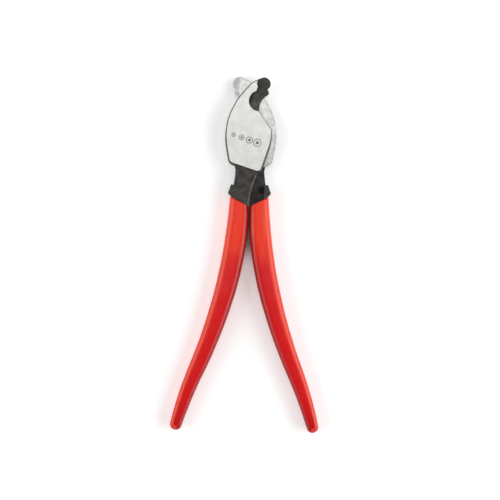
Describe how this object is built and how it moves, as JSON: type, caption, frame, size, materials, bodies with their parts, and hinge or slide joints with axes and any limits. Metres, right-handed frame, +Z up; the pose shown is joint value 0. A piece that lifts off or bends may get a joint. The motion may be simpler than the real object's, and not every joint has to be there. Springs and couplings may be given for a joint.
{
  "type": "cable cutter",
  "caption": "Hand cable cutter with hooked shear jaws on a flush pivot, forged levers with stop lugs and red dipped vinyl handles that flip over to the working side.",
  "frame": {"origin": "the point where the rivet's axis meets the bench under the rear head's ground face", "axes": "+Z up along the rivet's axis, +Y along the tool towards the blade tips, +X to the right, where the front lever's hook opens"},
  "size_m": [0.0968, 0.2307, 0.013],
  "materials": {
    "forged_steel": "head ground bright, shank and hollows black oxide",
    "rivet_steel": "ground flush with the heads",
    "red_vinyl": "glossy dipped plastisol"
  },
  "bodies": {
    "rear": {"rear_lever": "forged_steel", "rear_grip": "red_vinyl"},
    "front": {"front_lever": "forged_steel", "pivot_rivet": "rivet_steel", "front_grip": "red_vinyl"}
  },
  "joints": [
    {"name": "pivot", "type": "hinge", "parent": "rear", "child": "front", "pos_m": [0, 0, 0.0065], "axis": [0, 0, -1], "range_deg": [0, 322]}
  ]
}
